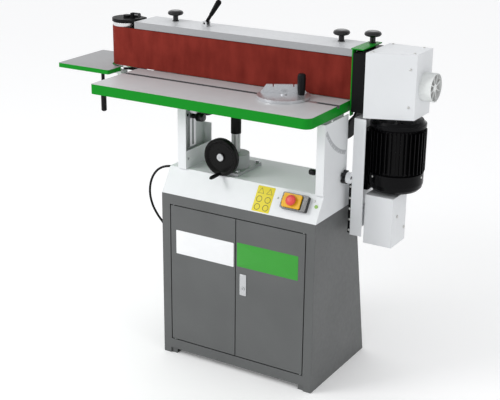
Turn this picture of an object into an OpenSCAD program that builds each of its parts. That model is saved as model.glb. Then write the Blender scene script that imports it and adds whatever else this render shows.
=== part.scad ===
// Oscillating edge belt sander on a cabinet stand.
// Millimetres. X runs along the belt to the right, Y points away from the operator, Z is up.
// The origin is the centre of the cabinet's footprint, on the floor.

/* [Cabinet] */
// Width of the cabinet along the belt
cab_w = 640; // [560:10:760]
// Depth of the cabinet on the floor
cab_d = 430; // [400:10:520]
// Height of the steel cabinet
cab_h = 650; // [600:10:720]
// Thickness of the sheet steel
sheet = 2; // [1.5:0.5:3]
// Height of the control tray on the cabinet
tray_h = 88; // [80:2:100]
// Widest opening angle that the doors leave room for, as a gap round each leaf
door_gap = 4; // [3:0.5:6]

/* [Table] */
// Length of the main table
table_l = 907; // [800:1:960]
// Depth of the main table
table_d = 300; // [280:1:305]
// Thickness at the edge of the main table
table_t = 37; // [30:1:45]
// Height of the table top at its lowest setting
table_z = 1033; // [1033:1:1040]
// Width of the slot for the mitre gauge
slot_w = 19; // [17:0.5:22]

/* [Belt and drums] */
// Width of the abrasive belt
belt_w = 150; // [120:10:160]
// Thickness of the belt
belt_t = 1.2; // [0.8:0.1:1.6]
// Radius of both drums
drum_r = 55; // [50:1:57]
// X of the idler drum's axis
idler_x = -690; // [-700:1:-680]
// X of the drive drum's axis, which is the motor's axis
drive_x = 470; // [465:1:475]

/* [Motor] */
// Radius over the motor's cooling fins
motor_r = 100; // [90:1:104]
// Outer diameter of the dust port
port_d = 100; // [80:1:110]

/* [Lift] */
// Diameter of the fixed guide column
column_d = 33; // [32:1:36]
// Outer radius of the handwheel
wheel_r = 69; // [60:1:69]

/* [Hidden] */
$fn = 48;
big = 2000;

// Radial clearance of a running fit, and the gap between sliding flats
run = 0.05;
slip = 0.3;

// Cabinet and tray
half_w = cab_w / 2;
front_y = -cab_d / 2;
back_y = cab_d / 2;
top_back_y = 94;
lean = (back_y - top_back_y) / cab_h;
foot_h = 22;
foot_w = 30;
shelf_z = foot_h;
anchor_x = 290;
anchor_y = 185;
anchor_r = 6.5;
tray_z = cab_h;
tray_top = cab_h + tray_h;
tray_front_top = front_y + 57;
slant_l = sqrt(57 * 57 + tray_h * tray_h);
slant_a = atan2(tray_h, 57);

// Door opening and leaves
open_x = 285;
open_z0 = 61;
open_z1 = 611;
leaf_d = 12;
leaf_skin = 1.5;
pin_x = 272;
pin_y = front_y + 6;
pin_r = 3;

// Posts
post_z1 = 990;
post_front = -167;
post_back = 6;
post_t = 3;

// The head tips about a line where the belt's face meets the table
tilt_y = 35;
tilt_z = table_z + 1;
arm_r = 127;
arm_half = 11;
arm_start = 250;
tilt_max = 45;
arm_t = 8;

// Lift column, rack and pinion
col_x = -96;
col_y = -60;
wheel_x = -97;
wheel_y = -155;
wheel_z = 808;
pitch_r = 6;
teeth = 12;
tooth = 3.14159265 * 2 * pitch_r / teeth;
addendum = 0.8;
dedendum = 1.15;
tooth_half = tooth / 4 - 0.22;
rack_x = wheel_x + pitch_r;
rack_z0 = 700;

// Main table
table_x1 = 312;
table_x0 = table_x1 - table_l;
table_y1 = 32;
table_y0 = table_y1 - table_d;
table_z0 = table_z - table_t;
slot_y = -61;
slot_d = 9.5;
top_t = 14;

// Mitre gauge
gauge_x = 98;
gauge_r = 94;
gauge_cut = 38;
gauge_a = 30;
gauge_plate = 10;

// Belt loop and head
drum_y = 92;
belt_z0 = tilt_z;
belt_z1 = belt_z0 + belt_w;
loop_r = drum_r + slip;
belt_in_y = drum_y - loop_r;
head_x0 = -600;
head_x1 = 400;
cover_z = 1211;
guard_y = 175;
cover_x0 = -611;
cover_x1 = 329;
knob_x = 218;
stroke = 4;

// Hood, guard and work stop
stop_x = 322;
hood_x0 = 385;
hood_x1 = 546;
hood_z0 = 990;
hood_z1 = 1216;
port_y = 117;
port_z = 1095;
port_l = 43;

// Mains cord: diameter, route and coil
cord_d = 9;
cord_route = [
    [-346, -65, 700], [-372, -65, 700], [-410, -64, 693], [-445, -62, 674], [-473, -58, 641],
    [-490, -53, 600], [-495, -48, 558], [-488, -42, 515], [-470, -36, 477], [-447, -28, 442],
    [-425, -16, 398], [-409, 4, 345], [-399, 32, 280], [-393, 70, 205], [-389, 110, 130],
    [-381, 150, 68], [-366, 187, 29], [-343, 219, 11], [-314, 243, 6], [-286, 255, 5.2],
    [-255, 257.5, 5.2]
];
cord_steps = 2;
cord_sides = 10;
coil_x = -235;
coil_y = 312;
coil_mid_r = 50;
coil_layers = 2;

// ---------------------------------------------------------------- helpers

// Box from its lowest to its highest corner
module block(a, b) {
    translate(a) cube([b[0] - a[0], b[1] - a[1], b[2] - a[2]]);
}

// Outline in Y and Z carried along X
module along_x(x0, x1) {
    translate([x0, 0, 0]) rotate([90, 0, 90]) linear_extrude(x1 - x0) children();
}

// Round bar along X, Y or Z from its low end
module bar_x(x0, x1, y, z, r) {
    translate([x0, y, z]) rotate([0, 90, 0]) cylinder(r = r, h = x1 - x0);
}
module bar_y(x, y0, y1, z, r) {
    translate([x, y0, z]) rotate([-90, 0, 0]) cylinder(r = r, h = y1 - y0);
}
module bar_z(x, y, z0, z1, r) {
    translate([x, y, z0]) cylinder(r = r, h = z1 - z0);
}

// Rectangle with round corners
module round_rect(x0, y0, x1, y1, r) {
    hull() {
        for (x = [x0 + r, x1 - r], y = [y0 + r, y1 - r]) translate([x, y]) circle(r = r, $fn = 32);
    }
}

// Place children on the tray's slanted front: x along, s up the slope, Z out of it
module on_slant(x, s) {
    translate([x, front_y, tray_z]) rotate([slant_a, 0, 0]) translate([0, s, 0]) children();
}

// Points on a circle in the Y-Z plane about the tilt line
function tilt_pt(r, a) = [tilt_y + r * cos(a), tilt_z + r * sin(a)];
function tilt_arc(r, a0, a1, n) = [for (i = [0:n]) tilt_pt(r, a0 + (a1 - a0) * i / n)];

// Mushroom knob on a stem, axis Z, standing on z = 0
module cover_knob_shape() {
    rotate_extrude() polygon([
        [0, 0], [13, 0], [13, 2], [10, 4], [10, 20], [16, 21], [27, 25], [30, 29], [30, 33],
        [27, 38], [20, 41], [15, 41.5], [0, 41.5]
    ]);
}

// Hexagon bolt head with its washer, axis Z
module hex_head(af, h) {
    cylinder(r = af * 0.72, h = 1.5);
    translate([0, 0, 1.5]) cylinder(r = af / 1.732, h = h, $fn = 6);
}

// ---------------------------------------------------------------- cabinet

module cabinet_floor() {
    inner = half_w - sheet;
    color("dimgray") difference() {
        union() {
            block([-inner, front_y + sheet, shelf_z], [inner, back_y - 9, shelf_z + sheet]);
            for (sx = [-1, 1], sy = [-1, 1]) {
                block(
                    [sx * anchor_x - 26, sy * anchor_y - 24, 0],
                    [sx * anchor_x + 26, sy * anchor_y + 20, 4]
                );
                block(
                    [sx * anchor_x - 26, sy * anchor_y - 24, 0],
                    [sx * anchor_x + 26, sy * anchor_y - 20, shelf_z + 1]
                );
            }
        }
        for (sx = [-1, 1], sy = [-1, 1]) bar_z(sx * anchor_x, sy * anchor_y, -1, 60, anchor_r);
    }
}

module side_panels() {
    color("dimgray") for (x = [-half_w, half_w - sheet]) along_x(x, x + sheet) polygon([
        [front_y, 0], [back_y, 0], [top_back_y, cab_h], [front_y, cab_h]
    ]);
}

module rear_panel() {
    foot_back = back_y - lean * foot_h;
    color("dimgray") along_x(-half_w + sheet, half_w - sheet) polygon([
        [foot_back - sheet, foot_h], [foot_back, foot_h], [top_back_y, cab_h], [top_back_y - sheet, cab_h]
    ]);
}

module front_frame() {
    edge = half_w - sheet;
    color("dimgray") difference() {
        block([-edge, front_y, 0], [edge, front_y + sheet, cab_h]);
        block([-open_x, front_y - 1, open_z0], [open_x, front_y + sheet + 1, open_z1]);
        block([-edge + foot_w, front_y - 1, -1], [edge - foot_w, front_y + sheet + 1, foot_h]);
    }
}

// Lugs behind the frame carry the pins that the doors swing on
module door_hinge_pins() {
    color("silver") for (s = [-1, 1]) {
        block([s * pin_x - 7, front_y + sheet, open_z1], [s * pin_x + 7, front_y + 12, open_z1 + 9]);
        bar_z(s * pin_x, pin_y, open_z1 - 13, open_z1 + 9, pin_r);
        block([s * pin_x - 7, front_y + sheet, open_z0 - 9], [s * pin_x + 7, front_y + 12, open_z0]);
        bar_z(s * pin_x, pin_y, open_z0 - 9, open_z0 + 13, pin_r);
    }
}

// Folded pan with its hinge bores in the top and bottom flanges
module door_leaf(x0, x1, hinge_x) {
    z0 = open_z0 + door_gap;
    z1 = open_z1 - door_gap;
    difference() {
        block([x0, front_y, z0], [x1, front_y + leaf_d, z1]);
        block([x0 + leaf_skin, front_y + leaf_skin, z0 + leaf_skin],
              [x1 - leaf_skin, front_y + leaf_d + 1, z1 - leaf_skin]);
        bar_z(hinge_x, pin_y, z0 - 1, z1 + 1, pin_r + run);
    }
}

module left_door() {
    color("dimgray") door_leaf(-open_x + door_gap, -door_gap / 2, -pin_x);
}

lock_x = 32;
lock_z = 345;
lock_r = 8;

module right_door() {
    color("dimgray") difference() {
        door_leaf(door_gap / 2, open_x - door_gap, pin_x);
        bar_y(lock_x, front_y - 1, front_y + 3, lock_z, lock_r + 1);
    }
}

module latch_plate() {
    color("silver") difference() {
        translate([0, front_y, 0]) rotate([90, 0, 0]) linear_extrude(2)
            round_rect(lock_x - 13, 318, lock_x + 14, 401, 3);
        bar_y(lock_x, front_y - 3, front_y + 1, lock_z, lock_r + run);
    }
}

// Key barrel with the cam behind the door: down is open, across is locked
module latch_cam() {
    color("silver") {
        difference() {
            bar_y(lock_x, front_y - 4, front_y + leaf_d + 3, lock_z, lock_r);
            block([lock_x - 1, front_y - 5, lock_z - 4], [lock_x + 1, front_y - 2, lock_z + 4]);
        }
        block(
            [lock_x - 9, front_y + leaf_d + 3, lock_z - 48],
            [lock_x + 9, front_y + leaf_d + 6, lock_z + 9]
        );
    }
}

// ---------------------------------------------------------------- control tray and switch

module control_tray() {
    color("whitesmoke") difference() {
        along_x(-half_w, half_w) polygon([
            [front_y, tray_z], [top_back_y, tray_z], [top_back_y, tray_top], [tray_front_top, tray_top]
        ]);
        along_x(-half_w + sheet, half_w - sheet) polygon([
            [front_y + 3, tray_z - 1], [top_back_y - sheet, tray_z - 1],
            [top_back_y - sheet, tray_top - sheet],
            [tray_front_top + 1.5, tray_top - sheet]
        ]);
        bar_z(col_x, col_y, tray_z, tray_top + 1, column_d / 2 + 1);
        bar_x(-half_w - 1, -half_w + 3, -65, 700, 9);
        on_slant(switch_x, switch_s) translate([-42, -18, -6]) cube([80, 36, 12]);
    }
}

switch_x = 226;
switch_s = 61;
switch_deep = 18;
button_x = -9;

// Black housing with a well for the buttons
module switch_base() {
    color("black") on_slant(switch_x, switch_s) difference() {
        linear_extrude(switch_deep) round_rect(-52, -29, 48, 29, 5);
        translate([0, 0, 6]) linear_extrude(20) round_rect(-46, -24, 28, 24, 3);
        translate([12, 0, 2]) cylinder(r = 9 + slip, h = 10);
        translate([-50, -14, 13]) cube([6, 28, 10]);
    }
}

flap_x = -48;

// Yellow lid that swings on a pin at its left edge
module switch_flap() {
    color("gold") on_slant(switch_x, switch_s) {
        difference() {
            translate([0, 0, switch_deep + 1]) linear_extrude(6) round_rect(-44, -25, 26, 25, 6);
            translate([button_x, 0, switch_deep]) cylinder(r = 8 + slip, h = 12);
        }
        translate([flap_x + 1, -12, switch_deep + 1]) cube([6, 24, 4]);
    }
}

// Red mushroom, pushed through the lid
module stop_button() {
    color("crimson") on_slant(switch_x, switch_s) translate([button_x, 0, 0]) {
        translate([0, 0, 12]) cylinder(r = 8, h = 20);
        translate([0, 0, 31]) rotate_extrude() polygon([
            [0, 0], [17, 0], [19, 2], [19, 4], [16, 8], [9, 10], [0, 10.5]
        ]);
    }
}

module start_button() {
    color("green") on_slant(switch_x, switch_s) translate([12, 0, 6]) cylinder(r = 9, h = 8);
}

// ---------------------------------------------------------------- posts

// Upright channel: web at web_x, flanges towards dir, and a closed foot
module post(web_x, dir, depth, slotted) {
    inner = web_x + dir * depth;
    lo = min(web_x, inner);
    hi = max(web_x, inner);
    difference() {
        block([lo, post_front, tray_top], [hi, post_back, post_z1]);
        block([lo + (dir > 0 ? post_t : -1), post_front + post_t, tray_top + 4],
              [hi + (dir > 0 ? 1 : -post_t), post_back - post_t, post_z1 + 1]);
        block([lo + (dir > 0 ? post_t : -1), post_back - post_t - 1, 875],
              [hi + (dir > 0 ? 1 : -post_t), post_back + 1, post_z1 + 1]);
        if (slotted) tilt_slot(lo - 1, hi + 1);
    }
}

// Arc slot for the head's tilt bolt
module tilt_slot(x0, x1) {
    along_x(x0, x1) polygon(concat(
        tilt_arc(arm_r - 5.3, arm_start - tilt_max - 3, arm_start + 3, 12),
        tilt_arc(arm_r + 5.3, arm_start + 3, arm_start - tilt_max - 3, 12)
    ));
}

lock_y = -105;
lock_knob_z = 925;

module left_post() {
    color("whitesmoke") difference() {
        union() {
            post(-279, 1, 35, true);
            block([-247, post_front + post_t, tray_top + 4], [-244, post_back - post_t, 806]);
        }
        bar_x(-290, -270, lock_y, lock_knob_z, 5 + run);
        bar_x(-250, -240, -150, 775, 5);
    }
}

// Plain outer face; the arc slot is in a cheek welded inside
module right_post() {
    color("whitesmoke") {
        post(320, -1, 31, false);
        difference() {
            block([299, post_front + 1, 862], [302, post_back - 1, post_z1]);
            tilt_slot(298, 303);
        }
    }
}

module frame_bolts() {
    color("gray") {
        for (x = [-145, -47], y = [-127, 13]) translate([x, y, tray_top + 12]) hex_head(15, 7);
        for (x = [-262, 303], y = [-140, -110, -30]) translate([x, y, tray_top + 4]) hex_head(12, 6);
    }
}

// ---------------------------------------------------------------- lift

// Cast base: plate, round boss and the bearing block of the pinion shaft
module column_base() {
    color("darkgray") difference() {
        union() {
            block([-155, -143, tray_top], [-37, 25, tray_top + 12]);
            bar_z(col_x, col_y, tray_top + 12, 800, 50);
            block([wheel_x - 14, -134, tray_top + 12], [wheel_x + 14, -104, wheel_z + 14]);
        }
        bar_z(col_x, col_y, tray_top - 1, 801, column_d / 2);
        bar_y(wheel_x, -135, -103, wheel_z, 6 + run);
    }
}

// Steel guide tube with a window for the pinion
module guide_column() {
    color("gray") difference() {
        bar_z(col_x, col_y, 690, 975, column_d / 2);
        bar_z(col_x, col_y, 689, 976, 13);
        bar_y(wheel_x, col_y - 20, col_y + 20, wheel_z, 8);
    }
}

// Lifting bar, milled flat and toothed where the pinion drives it
module rack_column() {
    color("silver") difference() {
        bar_z(col_x, col_y, rack_z0, table_z0 - 12, 13 - run);
        block([col_x - 20, col_y - 20, rack_z0 - 1], [rack_x + dedendum, col_y + 20, 832]);
    }
    color("silver") translate([0, col_y + 9, 0]) rotate([90, 0, 0]) linear_extrude(18)
        for (i = [-33:1]) rack_tooth(wheel_z + (i + 0.5) * tooth);
}

module rack_tooth(z) {
    flare = tan(20);
    tip = tooth_half - addendum * flare;
    root = tooth_half + dedendum * flare;
    polygon([
        [rack_x + dedendum + 0.2, z - root], [rack_x + dedendum + 0.2, z + root],
        [rack_x + dedendum, z + root], [rack_x - addendum, z + tip],
        [rack_x - addendum, z - tip], [rack_x + dedendum, z - root]
    ]);
}

// Shaft and toothed pinion in one piece
module pinion_shaft() {
    root_r = pitch_r - dedendum;
    tip_r = pitch_r + addendum;
    color("silver") {
        bar_y(wheel_x, -160, col_y - 9, wheel_z, 6);
        translate([wheel_x, col_y + 9, wheel_z]) rotate([90, 0, 0]) linear_extrude(19) {
            circle(r = root_r);
            for (i = [0:teeth - 1]) rotate([0, 0, 360 / teeth * i]) polygon([
                [root_r - 0.5, -tooth_half - 0.3], [tip_r, -tooth_half + 0.3],
                [tip_r, tooth_half - 0.3], [root_r - 0.5, tooth_half + 0.3]
            ]);
        }
    }
}

grip_r = 60;

// Dished disc wheel with a round rim
module handwheel() {
    color("black") difference() {
        translate([wheel_x, wheel_y + 10, wheel_z]) rotate([90, 0, 0]) rotate_extrude($fn = 64) polygon([
            [6, 0], [20, 0], [20, 8], [wheel_r - 15, 10], [wheel_r - 10, 3], [wheel_r - 4, 0], [wheel_r, 4],
            [wheel_r, 19], [wheel_r - 3, 23], [wheel_r - 9, 24], [wheel_r - 14, 20], [wheel_r - 18, 16],
            [16, 16], [16, 20], [6, 20]
        ]);
        bar_y(wheel_x, -200, -100, wheel_z - grip_r, 4);
    }
}

// Free-turning grip on its own bolt
module wheel_grip() {
    color("black") {
        bar_y(wheel_x, wheel_y - 16, wheel_y + 8, wheel_z - grip_r, 4 - run);
        translate([wheel_x, wheel_y - 14.5, wheel_z - grip_r]) rotate([90, 0, 0]) rotate_extrude() polygon([
            [0, 0], [5.5, 0], [6.5, 14], [7.5, 44], [6.5, 57], [4, 63], [0, 65]
        ]);
    }
}

// ---------------------------------------------------------------- main table

module table_outline() {
    hull() {
        translate([table_x1 - 27, table_y0 + 27]) circle(r = 27, $fn = 32);
        translate([table_x0 + 8, table_y0 + 8]) circle(r = 8, $fn = 32);
        translate([table_x0 + 3, table_y1 - 3]) circle(r = 3, $fn = 32);
        translate([table_x1 - 3, table_y1 - 3]) circle(r = 3, $fn = 32);
    }
}

pockets = [[table_x0 + 12, -160], [-152, -40], [-32, 130], [138, table_x1 - 36]];

module main_table() {
    color("silver") difference() {
        translate([0, 0, table_z0]) linear_extrude(table_t) table_outline();
        block(
            [table_x0 - 1, slot_y - slot_w / 2, table_z - slot_d],
            [table_x1 + 1, slot_y + slot_w / 2, table_z + 1]
        );
        for (p = pockets) {
            if (p[0] != -152) {
                block([p[0], table_y0 + 12, table_z0 - 1], [p[1], slot_y - 20, table_z - top_t]);
                block([p[0], slot_y + 20, table_z0 - 1], [p[1], table_y1 - 12, table_z - top_t]);
            }
        }
    }
}

// Black sleeve over the guide column, with the flange that the table is bolted to
module column_sleeve() {
    color("black") difference() {
        union() {
            bar_z(col_x, col_y, 874, table_z0, 19);
            bar_z(col_x, col_y, table_z0 - 12, table_z0, 45);
        }
        bar_z(col_x, col_y, 873, table_z0 - 12, column_d / 2 + run);
    }
}

bar_x0 = -260;
bar_x1 = -254;

// Slotted bar under the table; the lock knob clamps it to the left post
module guide_bar() {
    color("gray") difference() {
        union() {
            block([bar_x0, lock_y - 20, 812], [bar_x1, lock_y + 20, table_z0]);
            block([bar_x0, lock_y - 20, table_z0 - 5], [bar_x1 + 24, lock_y + 20, table_z0]);
        }
        translate([bar_x0 - 1, 0, 0]) rotate([90, 0, 90]) linear_extrude(8) hull() {
            translate([lock_y, lock_knob_z + 3]) circle(r = 5.5, $fn = 32);
            translate([lock_y, lock_knob_z - 103]) circle(r = 5.5, $fn = 32);
        }
    }
}

module table_lock_knob() {
    color("black") {
        bar_x(-279, -246, lock_y, lock_knob_z, 5);
        bar_x(-253.6, -238, lock_y, lock_knob_z, 9);
        translate([-238, lock_y, lock_knob_z]) rotate([0, 90, 0]) rotate_extrude() polygon([
            [0, 0], [12, 0], [16.5, 6], [16.5, 26], [13, 34], [0, 36]
        ]);
    }
}

// ---------------------------------------------------------------- mitre gauge

module gauge_bar() {
    color("lightgray") difference() {
        block([gauge_x - 80, slot_y - slot_w / 2 + 0.15, table_z - slot_d + 0.2],
              [gauge_x + 130, slot_y + slot_w / 2 - 0.15, table_z - 0.3]);
        bar_z(gauge_x, slot_y, table_z - slot_d, table_z, 4 + run);
    }
}

// Half disc with the fence standing on its chord
module gauge_head() {
    chord = sqrt(gauge_r * gauge_r - gauge_cut * gauge_cut);
    color("lightgray") translate([gauge_x, slot_y, table_z + slip]) rotate([0, 0, gauge_a]) {
        difference() {
            cylinder(r = gauge_r, h = gauge_plate, $fn = 96);
            translate([-big / 2, gauge_cut, -1]) cube([big, 200, 40]);
            translate([62, 0, -1]) cylinder(r = 5 + run, h = 40);
            for (a = [-150:15:-30]) rotate([0, 0, a]) translate([gauge_r - 9, 0, gauge_plate - 2])
                cylinder(r = 2.5, h = 6);
        }
        translate([0, 0, -slot_d + 0.6]) cylinder(r = 4, h = slot_d);
        cylinder(r = 11, h = gauge_plate + 4);
        difference() {
            translate([0, gauge_cut, gauge_plate]) rotate([90, 0, 0]) linear_extrude(8) polygon([
                [-chord + 4, 0], [chord - 4, 0], [63, 29], [-60, 29]
            ]);
            for (x = [-36, 36]) translate([x - 2, gauge_cut - 10, gauge_plate + 20]) cube([4, 12, 12]);
        }
    }
}

module gauge_handle() {
    color("black") translate([gauge_x, slot_y, table_z + slip]) rotate([0, 0, gauge_a])
    translate([62, 0, 0]) {
        translate([0, 0, 0.3]) cylinder(r = 5, h = 12);
        translate([0, 0, gauge_plate]) rotate_extrude() polygon([
            [0, 0], [11, 0], [12, 3], [14, 20], [15, 60], [14, 70], [10, 75], [0, 76]
        ]);
    }
}

// ---------------------------------------------------------------- sanding head

bar_y0 = 100;
bar_y1 = 124;
bar_z0 = 1095;
bar_z1 = 1125;

// Folded steel channel that carries the platen, both drums and every guard
module head_frame() {
    color("gray") {
        along_x(head_x0, head_x1) polygon([
            [39, 1038], [45, 1038], [45, 1036], [138, 1036], [138, 998], [90, 998], [90, 990], [146, 990],
            [146, 1180], [138, 1180], [138, 1044], [45, 1044], [45, 1180], [39, 1180]
        ]);
        // guide blocks above and below the tension bar
        block([head_x0, bar_y0 - 4, 1044], [-470, bar_y1 + 4, bar_z0 - slip]);
        block([head_x0, bar_y0 - 4, bar_z1 + slip], [-470, 138, 1150]);
        // pillars up to the cover
        for (x = [-180, 140]) block([x, 100, 1044], [x + 30, 130, cover_z - 3]);
        block([-560, 100, 1150], [-530, 130, cover_z - 3]);
        block([-509, 112, 1150], [-471, 138, 1186]);
        block([knob_x - 19, 112, 1044], [knob_x + 19, 138, 1186]);
    }
}

module platen_pad() {
    color("darkslategray") block([head_x0, belt_in_y + slip, 1040], [head_x1, 39, 1178]);
}

// Lid over the belt with two ears for the tension lever
lever_x = -335;
lever_y = 111;
lever_z = cover_z + 12;

module top_cover() {
    color("lightgray") difference() {
        union() {
            block([cover_x0, 35, cover_z - 3], [cover_x1, guard_y - 2, cover_z]);
            for (y = [lever_y - 14, lever_y + 9]) {
                block([lever_x - 10, y, cover_z], [lever_x + 10, y + 5, lever_z]);
                bar_y(lever_x, y, y + 5, lever_z, 10);
            }
            for (x = [-489, knob_x]) bar_z(x, 134, 1186, cover_z, 12);
        }
        bar_y(lever_x, lever_y - 15, lever_y + 15, lever_z, 4 + run);
        for (x = [-489, knob_x]) bar_z(x, 134, 1185, cover_z + 1, 6 + run);
    }
}

// Bright strip along the front edge of the lid
module front_lip() {
    color("lightgray") {
        block([cover_x0, 31.5, 1186], [cover_x1, 33.5, cover_z]);
        block([cover_x0, 33.5, cover_z - 3], [cover_x1, 35, cover_z]);
    }
}

module rear_guard() {
    color("whitesmoke") {
        block([cover_x0, guard_y - 2, 1000], [cover_x1, guard_y, cover_z]);
        for (x = [-560, -180, 200]) block([x, 146, 992], [x + 30, guard_y, 1000]);
    }
}

// Black tunnel round the belt between the work stop and the hood
module entry_guard() {
    color("black") difference() {
        union() {
            along_x(cover_x1, hood_x0) difference() {
                translate([4, 1000]) square([guard_y - 4, 205]);
                translate([6, 999]) square([guard_y - 8, 204]);
            }
            bar_z(stop_knob_x, knob_y, 1195, 1215.7, 11.8);
        }
        bar_z(stop_knob_x, knob_y, 1194, 1217, 6 + run);
    }
}

// Curved arms inside the posts; their bolts run in the posts' arc slots
module tilt_arm(x0, bolt_x0, bolt_x1) {
    end = tilt_pt(arm_r, arm_start);
    along_x(x0, x0 + arm_t) {
        polygon(concat(
            tilt_arc(arm_r + arm_half, arm_start, 300, 10),
            [[140, 940], [140, 990], [94, 990], tilt_pt(76, 300), tilt_pt(76, 268)],
            [tilt_pt(arm_r - arm_half, 258), tilt_pt(arm_r - arm_half, arm_start)]
        ));
        translate(end) circle(r = arm_half);
    }
    bar_x(bolt_x0, bolt_x1, end[0], end[1], 5);
}

module tilt_arms() {
    color("black") {
        tilt_arm(306, 297, 307);
        tilt_arm(-271, -281.5, -271);
        for (x = [292.7, -287.5]) {
            end = tilt_pt(arm_r, arm_start);
            translate([x, end[0], end[1]]) rotate([0, 90, 0]) cylinder(r = 9, h = 6, $fn = 6);
        }
    }
}

// ---------------------------------------------------------------- dust hood

module hood_outline(t) {
    polygon([
        [hood_x0, -17 + t], [hood_x1 - t, 45 + t * 0.7], [hood_x1 - t, guard_y - t], [hood_x0, guard_y - t]
    ]);
}

module dust_hood() {
    color("whitesmoke") difference() {
        translate([0, 0, hood_z0]) linear_extrude(hood_z1 - hood_z0) hood_outline(0);
        difference() {
            translate([0, 0, hood_z0 + 2]) linear_extrude(hood_z1 - hood_z0 - 4) hood_outline(2);
        }
        block([hood_x0 - 1, -14, hood_z0 + 2], [hood_x0 + 4, guard_y - 2, hood_z1 - 2]);
        bar_z(drive_x, drum_y, hood_z0 - 1, hood_z0 + 3, 62);
        block([hood_x0 - 1, 80, hood_z0 - 1], [head_x1 + 2, 150, hood_z0 + 3]);
        bar_x(hood_x1 - 3, hood_x1 + 1, port_y, port_z, port_d / 2 - 3);
    }
}

// Hose spigot with its finger guard
module dust_port() {
    r = port_d / 2;
    color("whitesmoke") {
        difference() {
            bar_x(hood_x1, hood_x1 + port_l, port_y, port_z, r);
            bar_x(hood_x1 - 1, hood_x1 + port_l + 1, port_y, port_z, r - 3);
        }
        bar_x(hood_x1 + port_l - 8, hood_x1 + port_l - 4, port_y, port_z, 13);
        intersection() {
            bar_x(hood_x1 + port_l - 8, hood_x1 + port_l - 4, port_y, port_z, r - 1);
            for (i = [0:3]) translate([hood_x1 + port_l - 8, port_y, port_z]) rotate([45 * i + 20, 0, 0])
                translate([0, -r, -1.5]) cube([4, 2 * r, 3]);
        }
    }
}

// ---------------------------------------------------------------- motor and oscillation

lug_y = -20;
lug_z = 770;

// Channel that hangs from the head and guides the motor's slide
module motor_bracket() {
    color("whitesmoke") difference() {
        union() {
            block([352, -10, 557], [356, 150, 985]);
            block([352, -14, 557], [396, -10, 985]);
            block([352, 92, 985], [398, 146, 990]);
            block([352, 60, 980], [366, 150, 985]);
            bar_x(338, 352, lug_y, lug_z, 20);
        }
        bar_x(337, 357, lug_y, lug_z, 6 + run);
    }
}

module tilt_lock_knob() {
    color("black") {
        bar_x(320.6, 352, lug_y, lug_z, 6);
        difference() {
            bar_x(322.5, 336, lug_y, lug_z, 25);
            for (i = [0:4]) translate([322, lug_y, lug_z]) rotate([72 * i + 36, 0, 0]) translate([0, 26, 0])
                rotate([0, 90, 0]) cylinder(r = 9, h = 20);
        }
    }
}

fan_z = 722;
fin_z0 = 791;
fin_z1 = 950;

// Finned stator, end bell, mounting foot and fan cover
module motor_body() {
    core_r = motor_r - 14;
    color("black") translate([drive_x, drum_y, 0]) {
        difference() {
            union() {
                translate([0, 0, fin_z0]) cylinder(r = core_r, h = fin_z1 - fin_z0, $fn = 96);
                for (i = [0:35]) rotate([0, 0, 10 * i]) translate([core_r - 2, -1.5, fin_z0 + 6])
                    cube([motor_r - core_r + 2, 3, fin_z1 - fin_z0 - 12]);
                translate([0, 0, fin_z1]) rotate_extrude($fn = 96) polygon([
                    [0, 0], [94, 0], [98, 5], [98, 15], [92, 19], [86, 28], [0, 28]
                ]);
            }
            translate([0, 0, 925]) cylinder(r = 14 + run, h = 80);
        }
        // fan cover
        translate([0, 0, fan_z]) rotate_extrude($fn = 96) polygon([
            [0, 0], [68, 0], [84, 5], [93, 15], [97, 30], [97, fin_z0 - fan_z], [0, fin_z0 - fan_z]
        ]);
    }
    color("black") block([356.3, 40, 715], [388, 144, 930]);
}

// Gearbox under the fan that drives the up-and-down stroke
module oscillator_box() {
    color("whitesmoke") {
        difference() {
            union() {
                block([398, 3, 530], [505, 120, 712]);
                bar_z(drive_x, drum_y, 711, fan_z, 24);
            }
            block([400, 5, 532], [503, 118, 710]);
        }
        block([356.3, 40, 580], [398, 100, 640]);
    }
}

// Lagged drum on the motor shaft
module drive_drum() {
    color("dimgray") {
        bar_z(drive_x, drum_y, 930, 1196, 14);
        bar_z(drive_x, drum_y, belt_z0 - 4, belt_z1 + 4, drum_r);
    }
}

// ---------------------------------------------------------------- idler

// Fork, tension bar and black cap in one casting
module idler_fork() {
    color("black") {
        translate([0, 0, 1200]) linear_extrude(12) hull() {
            translate([idler_x, drum_y]) circle(r = 58, $fn = 64);
            translate([cover_x0 - 17, 52]) square([4, 80]);
        }
        block([-630, 70, 1008], [-622, bar_y1, 1200]);
        block([-630, bar_y0, bar_z0], [-490, bar_y1, bar_z1]);
        block([idler_x - 14, drum_y - 14, 1008], [-622, drum_y + 14, 1018]);
        bar_z(idler_x, drum_y, 1008, 1200, 10);
        bar_z(idler_x, drum_y, 1212, 1222, 14);
        block([idler_x + 22, drum_y - 8, 1212], [idler_x + 34, drum_y + 8, 1232]);
    }
}

module idler_drum() {
    color("silver") difference() {
        bar_z(idler_x, drum_y, 1026, 1198, drum_r);
        bar_z(idler_x, drum_y, 1025, 1199, 10 + run);
    }
}

// Screw that tips the idler to track the belt
module tracking_knob() {
    color("black") {
        bar_x(idler_x + 34, idler_x + 42, drum_y, 1224, 4);
        bar_x(idler_x + 42, idler_x + 60, drum_y, 1224, 10);
    }
}

module tension_lever() {
    tip = [65, -16, 84];
    color("black") translate([lever_x, lever_y, lever_z]) {
        translate([0, 8.7, 0]) rotate([90, 0, 0]) cylinder(r = 9, h = 17.4);
        translate([0, 14, 0]) rotate([90, 0, 0]) cylinder(r = 4, h = 28);
        hull() {
            translate(tip * 0.12) sphere(r = 6.5, $fn = 24);
            translate(tip * 0.45) sphere(r = 6.5, $fn = 24);
        }
        hull() {
            translate(tip * 0.42) sphere(r = 8, $fn = 24);
            translate(tip) sphere(r = 11, $fn = 24);
        }
    }
}

module left_cover_knob() {
    color("black") {
        bar_z(-489, 134, 1187, cover_z, 6);
        translate([-489, 134, cover_z]) cover_knob_shape();
    }
}

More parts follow.
